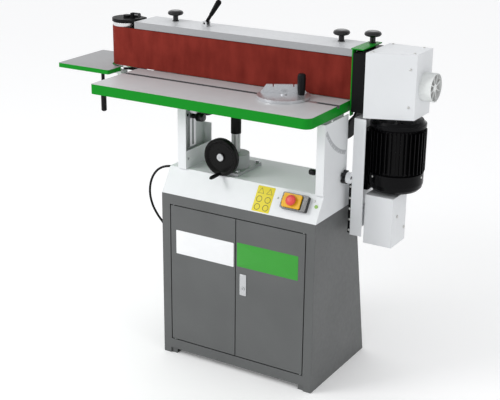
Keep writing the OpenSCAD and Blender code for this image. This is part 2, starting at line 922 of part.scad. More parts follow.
module right_cover_knob() {
    color("black") {
        bar_z(knob_x, 134, 1187, cover_z, 6);
        translate([knob_x, 134, cover_z]) cover_knob_shape();
    }
}

// ---------------------------------------------------------------- belt

module sanding_belt() {
    span = drive_x - idler_x;
    color("brown") difference() {
        union() {
            for (x = [idler_x, drive_x]) bar_z(x, drum_y, belt_z0, belt_z1, loop_r + belt_t);
            block([idler_x, belt_in_y - belt_t, belt_z0], [drive_x, drum_y + loop_r + belt_t, belt_z1]);
        }
        for (x = [idler_x, drive_x]) bar_z(x, drum_y, belt_z0 - 1, belt_z1 + 1, loop_r);
        block([idler_x, belt_in_y, belt_z0 - 1], [drive_x, drum_y + loop_r, belt_z1 + 1]);
    }
}

// ---------------------------------------------------------------- end table

handle_x = -778;
handle_y = 40;

module end_table() {
    color("silver") difference() {
        translate([0, 0, 1013]) linear_extrude(17) difference() {
            round_rect(-930, -50, -680, 238, 8);
            translate([idler_x, drum_y]) circle(r = 62);
            translate([idler_x, drum_y - 62]) square([200, 124]);
        }
        bar_z(handle_x, handle_y, 1012, 1022, 5 + run);
    }
}

// Welded arm from the head's channel to the end table, slotted for the clamp
module end_table_bracket() {
    color("whitesmoke") difference() {
        union() {
            block([-842, 20, 1003], [-672, 62, 1013 - slip]);
            block([-690, 20, 972], [-640, 62, 1003]);
            block([-690, 20, 960], [-600, 128, 972]);
            block([-640, 92, 972], [-600, 128, 990]);
            block([-600, 92, 960], [-560, 128, 990]);
        }
        hull() for (x = [handle_x - 48, handle_x + 8]) translate([x, handle_y, 1000])
            cylinder(r = 5.5, h = 20, $fn = 32);
    }
}

module end_table_handle() {
    color("black") {
        bar_z(handle_x, handle_y, 1003 - slip, 1021, 5);
        bar_z(handle_x, handle_y, 960, 1003 - slip, 7);
        translate([handle_x, handle_y, 835]) rotate_extrude() polygon([
            [0, 0], [7, 0], [11, 4], [11, 110], [9, 122], [7, 125], [0, 125]
        ]);
    }
}

// ---------------------------------------------------------------- work stop

knob_y = 128;
stop_knob_x = 341;

// Green stop plate with a slotted tab over the lid
module work_stop() {
    color("green") {
        block([stop_x, 8, 984], [stop_x + 4, 30, 1220]);
        difference() {
            block([318, 8, 1216], [364, 157, 1220]);
            hull() for (y = [knob_y - 2, knob_y + 17]) translate([stop_knob_x, y, 1215])
                cylinder(r = 6.5, h = 8, $fn = 32);
        }
    }
}

module stop_knob() {
    color("black") {
        bar_z(stop_knob_x, knob_y, 1196, 1221, 6);
        translate([stop_knob_x, knob_y, 1220.3]) cover_knob_shape();
    }
}

// ---------------------------------------------------------------- mains cord

module cord_gland() {
    color("black") {
        bar_x(-half_w - 5, -half_w, -65, 700, 13);
        translate([-half_w - 26, -65, 700]) rotate([0, 90, 0]) cylinder(r1 = 5.5, r2 = 9, h = 21);
    }
}

function mix4(a, b, c, d, t) = 0.5 * (
    2 * b + (c - a) * t + (2 * a - 5 * b + 4 * c - d) * t * t + (3 * b - a - 3 * c + d) * t * t * t
);
function at(r, i) = r[max(0, min(len(r) - 1, i))];
function smooth(r, n) = concat(
    [for (i = [0:len(r) - 2], j = [0:n - 1])
        mix4(at(r, i - 1), at(r, i), at(r, i + 1), at(r, i + 2), j / n)],
    [r[len(r) - 1]]
);
function unit(v) = v / norm(v);
function ring(p, t, r, n) = let (u = unit(cross(t, [0, 1, 0])), v = cross(t, u))
    [for (k = [0:n - 1]) p + r * (cos(360 * k / n) * u + sin(360 * k / n) * v)];

// Tube of radius r along the path p
module tube(p, r, n) {
    last = len(p) - 1;
    tangents = [for (i = [0:last]) unit(at(p, i + 1) - at(p, i - 1))];
    points = [for (i = [0:last], q = ring(p[i], tangents[i], r, n)) q];
    sides = [for (i = [0:last - 1], k = [0:n - 1]) [
        i * n + k, i * n + (k + 1) % n, (i + 1) * n + (k + 1) % n, (i + 1) * n + k
    ]];
    polyhedron(points, concat(
        [[for (k = [0:n - 1]) n - 1 - k]], sides, [[for (k = [0:n - 1]) last * n + k]]
    ));
}

module mains_cord() {
    color("black") tube(smooth(cord_route, cord_steps), cord_d / 2 - 0.02, cord_sides);
}

module cord_coil() {
    color("black") translate([coil_x, coil_y, 0]) rotate_extrude() translate([coil_mid_r - cord_d - 1, 0])
        square([2 * cord_d + 2, coil_layers * cord_d + 1.5]);
}

// Generic two-pin plug with its bend relief, lying beside the coil
module mains_plug() {
    plug_y = coil_y - coil_mid_r - cord_d / 2;
    color("black") {
        along_x(-174, -134) round_rect(plug_y - 18, 0, plug_y + 18, 28, 9);
        along_x(-134, -131) round_rect(plug_y - 16, 2, plug_y + 16, 26, 8);
        translate([-212, plug_y, 14]) rotate([0, 90, 0]) cylinder(r1 = 5.2, r2 = 8, h = 38);
        for (y = [plug_y - 9.5, plug_y + 9.5]) bar_x(-131, -112, y, 14, 2.4);
    }
}

// ---------------------------------------------------------------- assembly

cabinet_floor();
side_panels();
rear_panel();
front_frame();
door_hinge_pins();
control_tray();
switch_base();
left_post();
right_post();
frame_bolts();
column_base();
guide_column();
cord_gland();
mains_cord();
cord_coil();
mains_plug();
left_door();
right_door();
latch_plate();
latch_cam();
switch_flap();
stop_button();
start_button();
handwheel();
pinion_shaft();
wheel_grip();
main_table();
rack_column();
column_sleeve();
guide_bar();
table_lock_knob();
gauge_bar();
gauge_head();
gauge_handle();
head_frame();
platen_pad();
top_cover();
front_lip();
rear_guard();
entry_guard();
tilt_arms();
dust_hood();
dust_port();
motor_bracket();
tilt_lock_knob();
end_table();
end_table_bracket();
end_table_handle();
left_cover_knob();
right_cover_knob();
tension_lever();
idler_fork();
tracking_knob();
idler_drum();
motor_body();
oscillator_box();
drive_drum();
sanding_belt();
work_stop();
stop_knob();
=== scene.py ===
# %% [markdown]
# An edge belt sander, dressed in Blender
#
# The machine is a long abrasive belt standing on edge between two drums, above a steel cabinet.
# Its frame, drums, tables and joints come in as a fixed model. This lesson adds what a solid
# model leaves plain: the cord, the labels, the small fasteners, and a finish for every surface.

import bpy
import numpy as np
from mathutils import Matrix, Vector


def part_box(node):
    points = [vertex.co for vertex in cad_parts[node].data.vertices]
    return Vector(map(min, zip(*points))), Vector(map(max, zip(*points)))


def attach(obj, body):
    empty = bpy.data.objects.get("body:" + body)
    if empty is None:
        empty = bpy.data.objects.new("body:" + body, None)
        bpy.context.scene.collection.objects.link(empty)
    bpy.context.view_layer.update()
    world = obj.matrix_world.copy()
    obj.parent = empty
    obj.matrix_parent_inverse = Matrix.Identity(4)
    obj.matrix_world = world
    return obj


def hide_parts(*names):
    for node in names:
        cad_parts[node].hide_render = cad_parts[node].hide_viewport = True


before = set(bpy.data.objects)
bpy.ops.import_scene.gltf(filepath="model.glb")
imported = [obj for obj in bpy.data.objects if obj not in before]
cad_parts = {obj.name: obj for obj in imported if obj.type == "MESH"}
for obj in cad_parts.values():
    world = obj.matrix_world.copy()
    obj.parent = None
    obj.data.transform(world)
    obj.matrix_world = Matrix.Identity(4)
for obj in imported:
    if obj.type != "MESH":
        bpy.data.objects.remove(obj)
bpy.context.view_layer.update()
MM = 0.001

# %% [markdown]
# The camera
#
# A product picture of a machine is taken from a few metres away with a long lens, so that its
# uprights stay nearly parallel. The lens axis misses the middle of the picture a little, which a
# shift of the sensor gives without turning the uprights.

# %% Camera
AZIMUTH, ELEVATION = np.radians(32.49), np.radians(20.39)
back = Vector((np.sin(AZIMUTH) * np.cos(ELEVATION), -np.cos(AZIMUTH) * np.cos(ELEVATION), np.sin(ELEVATION)))
side = Vector((np.cos(AZIMUTH), np.sin(AZIMUTH), 0))
lens = bpy.data.cameras.new("camera")
lens.sensor_width, lens.lens = 36, 82.08
lens.shift_x, lens.shift_y = 0.0665, 0.0325
camera = bpy.data.objects.new("camera", lens)
bpy.context.scene.collection.objects.link(camera)
turn = Matrix((side, back.cross(side), back)).transposed()
camera.matrix_world = Matrix.Translation((1.9855, -3.4589, 2.0321)) @ turn.to_4x4()
bpy.context.scene.camera = camera
print("camera", tuple(round(v, 3) for v in camera.location), "lens", lens.lens)

# %% [markdown]
# Surfaces from arrays
#
# Every new piece is a grid of points worked out with numpy. One function turns grids into a mesh:
# neighbouring rows are joined by quads, a closed direction wraps round, and an open end can be
# shut by a fan to its middle. The order of the corners is turned over where the enclosed volume
# comes out negative, so that faces always point outwards.

# %% Grids into a mesh
def grid_faces(rows, cols, wrap):
    """Quads of a rows x cols grid; with wrap, the last column joins the first."""
    i, j = np.meshgrid(np.arange(rows - 1), np.arange(cols if wrap else cols - 1), indexing="ij")
    k = (j + 1) % cols
    return np.stack([i * cols + j, i * cols + k, (i + 1) * cols + k, (i + 1) * cols + j], -1).reshape(-1, 4)


def closed(grid):
    """A tube-like grid (rows, cols, 3) with a middle point added at both ends, as vertices and faces."""
    rows, cols = grid.shape[:2]
    verts = np.vstack([grid.reshape(-1, 3), grid[0].mean(0), grid[-1].mean(0)])
    quads = grid_faces(rows, cols, True)
    j = np.arange(cols)
    k = (j + 1) % cols
    low = np.stack([k, j, np.full(cols, rows * cols)], -1)
    high = np.stack([(rows - 1) * cols + j, (rows - 1) * cols + k, np.full(cols, rows * cols + 1)], -1)
    tris = np.vstack([low, high])
    a, b, c = verts[tris[:, 0]], verts[tris[:, 1]], verts[tris[:, 2]]
    p, q, r, s = (verts[quads[:, n]] for n in range(4))
    volume = (np.cross(a, b) * c).sum() + (np.cross(p, q) * r).sum() + (np.cross(p, r) * s).sum()
    if volume < 0:
        quads, tris = quads[:, ::-1], tris[:, ::-1]
    return verts, [quads, tris]


def build(name, parts, material, body, angle=35.0):
    """One mesh object from several (vertices, [face arrays]) parts, riding on a body."""
    verts, faces, shift = [], [], 0
    for points, groups in parts:
        verts.append(points)
        faces += [tuple(f) for group in groups for f in (group + shift).tolist()]
        shift += len(points)
    mesh = bpy.data.meshes.new(name)
    mesh.from_pydata(np.vstack(verts).tolist(), [], faces)
    mesh.materials.append(material)
    mesh.polygons.foreach_set("use_smooth", np.ones(len(mesh.polygons), bool))
    mesh.set_sharp_from_angle(angle=np.radians(angle))
    mesh.update()
    piece = bpy.data.objects.new(name, mesh)
    bpy.context.scene.collection.objects.link(piece)
    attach(piece, body)
    print(name, len(mesh.vertices), "points", len(mesh.polygons), "faces")
    return piece


def axes_of(normal):
    """Two unit vectors square to a direction, and the direction itself."""
    n = np.array(normal, float)
    n /= np.linalg.norm(n)
    ref = np.array([0, 0, 1.0]) if abs(n[2]) < 0.9 else np.array([1.0, 0, 0])
    u = np.cross(ref, n)
    u /= np.linalg.norm(u)
    return u, np.cross(n, u), n


def lathe(profile, origin, axis, sides=40):
    """A turned shape: each (radius, height) of the profile is a circle round the axis. All in mm."""
    u, v, n = axes_of(axis)
    r, h = np.array(profile, float).T
    t = np.linspace(0, 2 * np.pi, sides, endpoint=False)
    circle = np.cos(t)[:, None] * u + np.sin(t)[:, None] * v
    grid = np.array(origin, float) + r[:, None, None] * circle + h[:, None, None] * n
    return closed(grid * MM)


def sweep(path, radii, sides=16):
    """A round tube along a path: circles square to the tangent, with no twist between neighbours."""
    path, radii = np.array(path, float), np.array(radii, float)
    tangent = np.gradient(path, axis=0)
    tangent /= np.linalg.norm(tangent, axis=1)[:, None]
    u = np.cross(tangent, [0, 1.0, 0.001])
    u /= np.linalg.norm(u, axis=1)[:, None]
    v = np.cross(tangent, u)
    t = np.linspace(0, 2 * np.pi, sides, endpoint=False)
    ring = np.cos(t)[None, :, None] * u[:, None] + np.sin(t)[None, :, None] * v[:, None]
    return closed((path[:, None] + radii[:, None, None] * ring) * MM)


def round_outline(w, h, r, n=8):
    """A w x h rectangle round the origin, whose corners are quarter circles of radius r."""
    t = np.linspace(0, np.pi / 2, n)
    arc = r * np.stack([np.cos(t), np.sin(t)], -1)
    quarter = np.array([[0, 1], [-1, 0]])
    turns = [np.eye(2), quarter, -np.eye(2), -quarter]
    mids = np.array([[1, 1], [-1, 1], [-1, -1], [1, -1]]) * [w / 2 - r, h / 2 - r]
    return np.vstack([mid + arc @ m for mid, m in zip(mids, turns)])


def plate(outline, thick, edge, origin, right, up):
    """A flat plate whose rim is rounded by edge: rows of the outline, drawn in near both faces."""
    right, up = np.array(right, float), np.array(up, float)
    out = np.cross(right, up)
    step = np.roll(outline, -1, 0) - np.roll(outline, 1, 0)
    inward = np.stack([-step[:, 1], step[:, 0]], -1) / np.linalg.norm(step, axis=1)[:, None]
    t = np.linspace(0, np.pi / 2, 4)
    draw = np.concatenate([edge * (1 - np.sin(t)), edge * (1 - np.cos(t))])
    lift = np.concatenate([edge * (1 - np.cos(t)), thick - edge * (1 - np.sin(t))])
    flat = outline[None] + draw[:, None, None] * inward[None]
    grid = np.array(origin, float) + flat[..., :1] * right + flat[..., 1:] * up + lift[:, None, None] * out
    return closed(grid * MM)


# %% [markdown]
# Finishes
#
# A finish is a small graph of shader nodes. All of them read Object coordinates, which are metres
# in the machine's own frame, so a grain keeps its size on every part. A Bevel node softens the
# sharp edges of the model the way paint and a file do.

# %% Shader helpers
def material(name, color, rough, metal=0.0, **sockets):
    """A material with its main shader; uniform values go straight onto the shader's sockets."""
    mat = bpy.data.materials.new(name)
    mat.use_nodes = True
    shader = mat.node_tree.nodes["Principled BSDF"]
    shader.inputs["Base Color"].default_value = (*color, 1)
    shader.inputs["Roughness"].default_value = rough
    shader.inputs["Metallic"].default_value = metal
    for key, value in sockets.items():
        shader.inputs[key.replace("_", " ")].default_value = value
    return mat, shader


def node(mat, kind, **values):
    """A node of that kind; names of sockets or of settings give its values."""
    n = mat.node_tree.nodes.new("ShaderNode" + kind)
    for key, value in values.items():
        key = key.replace("_", " ")
        if key in n.inputs:
            n.inputs[key].default_value = value
        else:
            setattr(n, key.replace(" ", "_"), value)
    return n


def wire(mat, *pairs):
    for a, b in pairs:
        mat.node_tree.links.new(a, b)


def place(mat, scale=(1, 1, 1), turn=(0, 0, 0), coords="Object"):
    """Coordinates of the piece, scaled and turned."""
    where = node(mat, "TexCoord")
    move = node(mat, "Mapping")
    move.inputs["Scale"].default_value = scale
    move.inputs["Rotation"].default_value = turn
    wire(mat, (where.outputs[coords], move.inputs["Vector"]))
    return move.outputs["Vector"]


def noise(mat, scale, detail=3.0, stretch=(1, 1, 1), turn=(0, 0, 0)):
    n = node(mat, "TexNoise", Scale=scale, Detail=detail)
    wire(mat, (place(mat, stretch, turn), n.inputs["Vector"]))
    return n.outputs["Fac"]


def spread(mat, fac, low, high, start=0.3, stop=0.7):
    """A number from low to high as fac goes from start to stop."""
    r = node(mat, "MapRange")
    for key, value in (("From Min", start), ("From Max", stop), ("To Min", low), ("To Max", high)):
        r.inputs[key].default_value = value
    wire(mat, (fac, r.inputs["Value"]))
    return r.outputs["Result"]


def tint(mat, fac, dark, light):
    """A colour between two, by fac."""
    m = node(mat, "Mix", data_type="RGBA")
    m.inputs[6].default_value = (*dark, 1)
    m.inputs[7].default_value = (*light, 1)
    wire(mat, (fac, m.inputs[0]))
    return m.outputs[2]


def relief(mat, shader, height, strength, depth, edge=0.0):
    """Bumps of a height field, depth in metres, over edges softened by a Bevel node of radius edge."""
    b = node(mat, "Bump", Strength=strength, Distance=depth)
    wire(mat, (height, b.inputs["Height"]), (b.outputs["Normal"], shader.inputs["Normal"]))
    if edge:
        soft = node(mat, "Bevel", Radius=edge, samples=4)
        wire(mat, (soft.outputs["Normal"], b.inputs["Normal"]))
    return b


def shade(color, k):
    return tuple(min(1.0, c * k) for c in color)


# %% [markdown]
# Paint
#
# Powder coat leaves a fine orange peel: a low, soft ripple about a millimetre across, with a
# roughness that wanders a little. The cabinet's grey, the white sheet parts and the gloss green
# differ only in colour, gloss and how strong the peel is.

# %% Paints
def paint(name, color, rough, peel=0.25, edge=0.0012, vary=0.05, shine=0.3):
    mat, shader = material(name, color, rough, Specular_IOR_Level=shine)
    cloud = noise(mat, 5.0, 4.0)
    wire(mat, (tint(mat, spread(mat, cloud, 0, 1), shade(color, 1 - vary), shade(color, 1 + vary)),
               shader.inputs["Base Color"]))
    grain = noise(mat, 620.0, 2.0)
    wire(mat, (spread(mat, noise(mat, 60.0, 3.0), rough - 0.05, rough + 0.06), shader.inputs["Roughness"]))
    relief(mat, shader, grain, peel, 0.0004, edge)
    return mat


GREY = (0.108, 0.112, 0.112)
WHITE = (0.74, 0.755, 0.77)
GREEN = (0.002, 0.235, 0.012)
grey_paint = paint("grey_powder_coat", GREY, 0.42, peel=0.35, vary=0.07)
white_paint = paint("white_powder_coat", WHITE, 0.38, peel=0.25, vary=0.02)
# The top cover is white paint darkened to a light grey: painted shade for its upward face, which gets less
# light than the fronts.
lid_paint_with_painted_shade = paint("white_lid_paint_with_painted_shade", (0.60, 0.61, 0.625), 0.34, peel=0.2, vary=0.04)
green_paint = paint("gloss_green_paint", GREEN, 0.3, peel=0.15, vary=0.06, shine=0.12)
black_gloss = paint("gloss_black_enamel", (0.002, 0.002, 0.0025), 0.2, peel=0.2, vary=0.2, shine=0.1)
black_satin = paint("satin_black_paint", (0.006, 0.006, 0.0065), 0.45, peel=0.4, vary=0.2, shine=0.1)
cast_paint = paint("painted_casting", (0.42, 0.43, 0.44), 0.5, peel=0.9, vary=0.08, edge=0.002)

# %% [markdown]
# Ground iron and green edges
#
# The tables are iron castings: their tops are ground to a fine lengthwise lay, and everything
# else is painted green. One material does both. The surface's own normal tells the top from the
# sides, and the distance from the slot's centre line keeps the slot bare and in shade.

# %% Table finish
IRON_DARK, IRON_LIGHT, SLOT_SHADE = (0.47, 0.475, 0.485), (0.63, 0.635, 0.645), (0.10, 0.10, 0.104)


def table_finish(name, slot_y=None, slot_half=0.0, slot_z=0.0, tone=1.0):
    """Ground metal where the surface faces up or lies in the slot, green paint elsewhere."""
    mat, paint_shader = material(name, GREEN, 0.3, Specular_IOR_Level=0.12)
    out = mat.node_tree.nodes["Material Output"]
    iron = node(mat, "BsdfPrincipled")
    iron.inputs["Metallic"].default_value = 0.25
    iron.inputs["Specular IOR Level"].default_value = 0.3
    lay = noise(mat, 90.0, 6.0, stretch=(0.35, 14, 14))
    cloud = noise(mat, 3.2, 5.0)
    both = node(mat, "Math", operation="ADD")
    wire(mat, (spread(mat, lay, -0.12, 0.12), both.inputs[0]),
         (spread(mat, cloud, 0.3, 0.7), both.inputs[1]))
    ground = tint(mat, both.outputs[0], shade(IRON_DARK, tone), shade(IRON_LIGHT, tone))
    wire(mat, (ground, iron.inputs["Base Color"]), (spread(mat, lay, 0.36, 0.52), iron.inputs["Roughness"]))
    relief(mat, iron, lay, 0.35, 0.0003, 0.001)
    relief(mat, paint_shader, noise(mat, 620.0, 2.0), 0.15, 0.0004, 0.0015)
    where = node(mat, "TexCoord")
    split = node(mat, "SeparateXYZ")
    wire(mat, (where.outputs["Normal"], split.inputs[0]))
    up = node(mat, "Math", operation="GREATER_THAN")
    up.inputs[1].default_value = 0.7
    wire(mat, (split.outputs["Z"], up.inputs[0]))
    bare = up.outputs[0]
    if slot_y is not None:
        dim = node(mat, "Mix", data_type="RGBA")
        dim.inputs[7].default_value = (*SLOT_SHADE, 1)
        spot = node(mat, "SeparateXYZ")
        near = node(mat, "Math", operation="COMPARE")
        near.inputs[1].default_value, near.inputs[2].default_value = slot_y, slot_half
        high = node(mat, "Math", operation="GREATER_THAN")
        high.inputs[1].default_value = slot_z
        both = node(mat, "Math", operation="MULTIPLY")
        either = node(mat, "Math", operation="MAXIMUM")
        wire(mat, (where.outputs["Object"], spot.inputs[0]), (spot.outputs["Y"], near.inputs[0]),
             (spot.outputs["Z"], high.inputs[0]), (near.outputs[0], both.inputs[0]),
             (high.outputs[0], both.inputs[1]),
             (both.outputs[0], either.inputs[0]), (bare, either.inputs[1]), (both.outputs[0], dim.inputs[0]),
             (ground, dim.inputs[6]), (dim.outputs[2], iron.inputs["Base Color"]))
        bare = either.outputs[0]
    mix = node(mat, "MixShader")
    wire(mat, (bare, mix.inputs[0]), (paint_shader.outputs[0], mix.inputs[1]),
         (iron.outputs[0], mix.inputs[2]),
         (mix.outputs[0], out.inputs["Surface"]))
    return mat


SLOT_Y, SLOT_HALF, SLOT_FLOOR = -0.061, 0.0098, 1.0233
main_table_finish = table_finish("ground_table_green_edge", SLOT_Y, SLOT_HALF, SLOT_FLOOR)
end_table_finish = table_finish("ground_end_table_green_edge", tone=0.62)

# %% [markdown]
# Bare metals
#
# A turned, ground or extruded metal shows fine lines along its machining. Noise stretched a
# hundred times along one axis gives those lines, in the roughness and in a very low bump.

# %% Metals
def brushed(name, color, rough, stretch, depth=0.25, metal=1.0, edge=0.0008):
    mat, shader = material(name, color, rough, metal)
    lines = noise(mat, 120.0, 5.0, stretch=stretch)
    wire(mat, (tint(mat, lines, shade(color, 0.86), shade(color, 1.1)), shader.inputs["Base Color"]),
         (spread(mat, lines, rough - 0.08, rough + 0.1), shader.inputs["Roughness"]))
    relief(mat, shader, lines, depth, 0.0002, edge)
    return mat


turned_steel = brushed("turned_steel", (0.52, 0.53, 0.54), 0.32, (8, 8, 30))
drum_steel = brushed("turned_drum_steel", (0.75, 0.75, 0.76), 0.22, (1, 1, 30))
sheet_steel = brushed("folded_steel", (0.35, 0.36, 0.37), 0.45, (0.5, 12, 12))
column_steel = brushed("drawn_tube_steel", (0.50, 0.51, 0.51), 0.38, (10, 10, 0.6), metal=0.6)
lip_aluminium = brushed("extruded_lip_aluminium", (0.36, 0.365, 0.375), 0.42, (0.3, 20, 20), metal=0.5)
gauge_aluminium = brushed("cast_gauge_aluminium", (0.66, 0.67, 0.69), 0.28, (6, 6, 6), metal=0.75)
nickel = brushed("satin_nickel", (0.55, 0.56, 0.57), 0.3, (20, 20, 0.5))
zinc = brushed("zinc_screw", (0.62, 0.62, 0.60), 0.35, (9, 9, 9))

# %% [markdown]
# Plastics, rubber and canvas
#
# Moulded plastic has a very fine spark-eroded grain and soft highlights. The cord's sheath is
# duller. The platen's canvas is nearly black with graphite.

# %% Plastics
def moulded(name, color, rough, grain=0.2, edge=0.001, shine=0.3, **sockets):
    mat, shader = material(name, color, rough, Specular_IOR_Level=shine, **sockets)
    mottle = tint(mat, noise(mat, 40.0, 3.0), shade(color, 0.85), shade(color, 1.15))
    wire(mat, (mottle, shader.inputs["Base Color"]),
         (spread(mat, noise(mat, 150.0, 2.0), rough - 0.05, rough + 0.07), shader.inputs["Roughness"]))
    relief(mat, shader, noise(mat, 1500.0, 1.0), grain, 0.0002, edge)
    return mat


black_plastic = moulded("moulded_black_plastic", (0.003, 0.003, 0.0035), 0.1, 0.06, edge=0.002, shine=0.45)
grip_plastic = moulded("grained_grip_plastic", (0.006, 0.006, 0.007), 0.35, 0.35, shine=0.15)
wheel_plastic = moulded("handwheel_phenolic", (0.004, 0.004, 0.004), 0.3, 0.3, edge=0.002, shine=0.12)
port_plastic = moulded("white_port_plastic", (0.74, 0.76, 0.75), 0.35, 0.15)
yellow_plastic = moulded("yellow_flap_plastic", (0.76, 0.42, 0.02), 0.3, 0.1, shine=0.15)
red_plastic = moulded("red_button_plastic", (0.70, 0.075, 0.07), 0.28, 0.1, edge=0.002,
                      Subsurface_Weight=0.05)
green_plastic = moulded("green_button_plastic", (0.02, 0.32, 0.05), 0.3, 0.1)
cord_rubber = moulded("cord_sheath_rubber", (0.007, 0.007, 0.007), 0.5, 0.3, shine=0.15)
canvas = moulded("graphite_canvas", (0.015, 0.015, 0.016), 0.6, 0.8, shine=0.1)

# %% [markdown]
# The abrasive belt
#
# Aluminium oxide cloth is a brick-red resin full of sharp grains. Close up the grains sparkle;
# from afar the cloth shows soft blotches, faint bands across its width, and a diagonal splice.
# Cell noise gives the grains, stretched noise the bands, and a plane through the loop the splice.

# %% Abrasive
def abrasive_cloth():
    red = (0.150, 0.013, 0.009)
    mat, shader = material("abrasive_cloth", red, 0.75, Specular_IOR_Level=0.06)
    grains = node(mat, "TexVoronoi", Scale=1400.0)
    wire(mat, (place(mat), grains.inputs["Vector"]))
    blotch = noise(mat, 14.0, 6.0)
    bands = noise(mat, 26.0, 4.0, stretch=(1, 1, 0.3))
    weave = noise(mat, 220.0, 2.0, stretch=(0.2, 0.2, 3))
    mix = node(mat, "Math", operation="MULTIPLY_ADD")
    mix.inputs[1].default_value = 0.5
    wire(mat, (spread(mat, blotch, 0, 0.7), mix.inputs[0]), (spread(mat, bands, 0, 0.5), mix.inputs[2]))
    fine = node(mat, "Math", operation="MULTIPLY_ADD")
    fine.inputs[1].default_value = 0.35
    wire(mat, (spread(mat, grains.outputs["Distance"], 0, 1, 0, 0.6), fine.inputs[0]),
         (mix.outputs[0], fine.inputs[2]))
    cloth = tint(mat, fine.outputs[0], shade(red, 0.7), (0.235, 0.030, 0.021))
    across = node(mat, "SeparateXYZ")
    wire(mat, (place(mat, turn=(0, np.radians(35), 0)), across.inputs[0]))
    near = node(mat, "Math", operation="COMPARE")
    near.inputs[1].default_value, near.inputs[2].default_value = -0.95, 0.0012
    seam = node(mat, "Mix", data_type="RGBA")
    seam.inputs[7].default_value = (*shade(red, 0.45), 1)
    wire(mat, (across.outputs["X"], near.inputs[0]), (near.outputs[0], seam.inputs[0]),
         (cloth, seam.inputs[6]),
         (seam.outputs[2], shader.inputs["Base Color"]))
    bumps = node(mat, "Math", operation="ADD")
    wire(mat, (grains.outputs["Distance"], bumps.inputs[0]), (weave, bumps.inputs[1]))
    relief(mat, shader, bumps.outputs[0], 0.6, 0.0004)
    return mat


abrasive = abrasive_cloth()

# %% [markdown]
# Finishes onto the parts
#
# Each part of the frame takes one finish. The parts keep their own meshes; only the material
# in their slot changes.

# %% Dress the parts
FINISHES = {
    grey_paint: ["cabinet_floor", "side_panels", "rear_panel", "front_frame", "left_door", "right_door"],
    white_paint: ["control_tray", "left_post", "right_post", "rear_guard", "dust_hood", "motor_bracket",
                  "oscillator_box", "end_table_bracket"],
    lid_paint_with_painted_shade: ["top_cover"],
    green_paint: ["work_stop"],
    black_gloss: ["motor_body", "tension_lever"],
    black_satin: ["tilt_arms", "entry_guard", "column_sleeve", "idler_fork"],
    cast_paint: ["column_base"],
    main_table_finish: ["main_table"],
    end_table_finish: ["end_table"],
    turned_steel: ["rack_column", "pinion_shaft", "door_hinge_pins", "latch_cam", "frame_bolts",
                   "guide_bar"],
    drum_steel: ["idler_drum", "drive_drum"],
    sheet_steel: ["head_frame"],
    column_steel: ["guide_column"],
    lip_aluminium: ["front_lip"],
    gauge_aluminium: ["gauge_head", "gauge_bar"],
    nickel: ["latch_plate"],
    black_plastic: ["switch_base", "left_cover_knob", "right_cover_knob", "stop_knob", "tilt_lock_knob",
                    "table_lock_knob", "tracking_knob", "mains_plug"],
    grip_plastic: ["wheel_grip", "end_table_handle", "gauge_handle"],
    wheel_plastic: ["handwheel"],
    port_plastic: ["dust_port"],
    yellow_plastic: ["switch_flap"],
    red_plastic: ["stop_button"],
    green_plastic: ["start_button"],
    cord_rubber: ["cord_gland", "cord_coil", "mains_cord"],
    canvas: ["platen_pad"],
    abrasive: ["sanding_belt"],
}
for finish, names in FINISHES.items():
    for name in names:
        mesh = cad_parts[name].data
        mesh.materials.clear()
        mesh.materials.append(finish)
print("dressed", sum(len(v) for v in FINISHES.values()), "parts")

# %% [markdown]
# The mains cord
#
# The cord leaves the tray sideways through its gland, bows out under its own stiffness, hangs to
# the floor and runs behind the cabinet, where the spare length is coiled. A smooth curve through
# listed points gives the free part, and three turns of a flat spiral give the coil.

# %% Cord
CORD_D = 9.0
ROUTE = np.array([
    (-346, -65, 700), (-372, -65, 700), (-410, -64, 693), (-445, -62, 674), (-473, -58, 641),
    (-490, -53, 600), (-495, -48, 558), (-488, -42, 515), (-470, -36, 477), (-447, -28, 442),
    (-425, -16, 398), (-409, 4, 345), (-399, 32, 280), (-393, 70, 205), (-389, 110, 130),
    (-381, 150, 68), (-366, 187, 29), (-343, 219, 11), (-314, 243, 6), (-286, 255, 5.2),
    (-255, 257.5, 5.2),
], float)
COIL = np.array([-235.0, 312.0])
COIL_R, COIL_Z, COIL_TURNS = 54.5, 5.2, 3.0


def smooth(points, n):
    """Catmull-Rom curve: n steps between neighbours, each a cubic through four points."""
    p = np.vstack([points[0], points, points[-1]])
    a, b, c, d = p[:-3, None], p[1:-2, None], p[2:-1, None], p[3:, None]
    t = (np.arange(n) / n)[None, :, None]
    curve = 0.5 * (2 * b + (c - a) * t + (2 * a - 5 * b + 4 * c - d) * t**2 + (3 * b - a - 3 * c + d) * t**3)
    return np.vstack([curve.reshape(-1, 3), points[-1]])


def ease(s, a, b):
    """0 before a, 1 after b, and a smooth step 3t^2 - 2t^3 between."""
    t = np.clip((s - a) / (b - a), 0, 1)
    return t * t * (3 - 2 * t)


def coil_points(turns, n=36):
    """Turns of the coil: outer, then inner, then up one cord and out again; s counts the turns."""
    s = np.linspace(0, turns, int(turns * n) + 1)
    r = COIL_R - CORD_D * ease(s, 0.7, 0.98) + CORD_D * ease(s, 2.0, 2.4)
    t = 2 * np.pi * s - np.pi / 2
    z = COIL_Z + CORD_D * ease(s, 1.4, 1.72)
    return np.stack([COIL[0] + r * np.cos(t), COIL[1] + r * np.sin(t), z], -1)


coil_turns = coil_points(COIL_TURNS)
lead_out = [(x, coil_turns[-1, 1], z) for x, z in ((-228, 14.15), (-220, 14.0), (-212, 14.0), (-200, 14.0))]
cord_path = np.vstack([smooth(ROUTE, 6), coil_turns, lead_out])
mains_cord = build("mains_lead", [sweep(cord_path, np.full(len(cord_path), CORD_D / 2 - 0.03), 16)],
                   cord_rubber, "stand", angle=60)
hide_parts("mains_cord", "cord_coil")


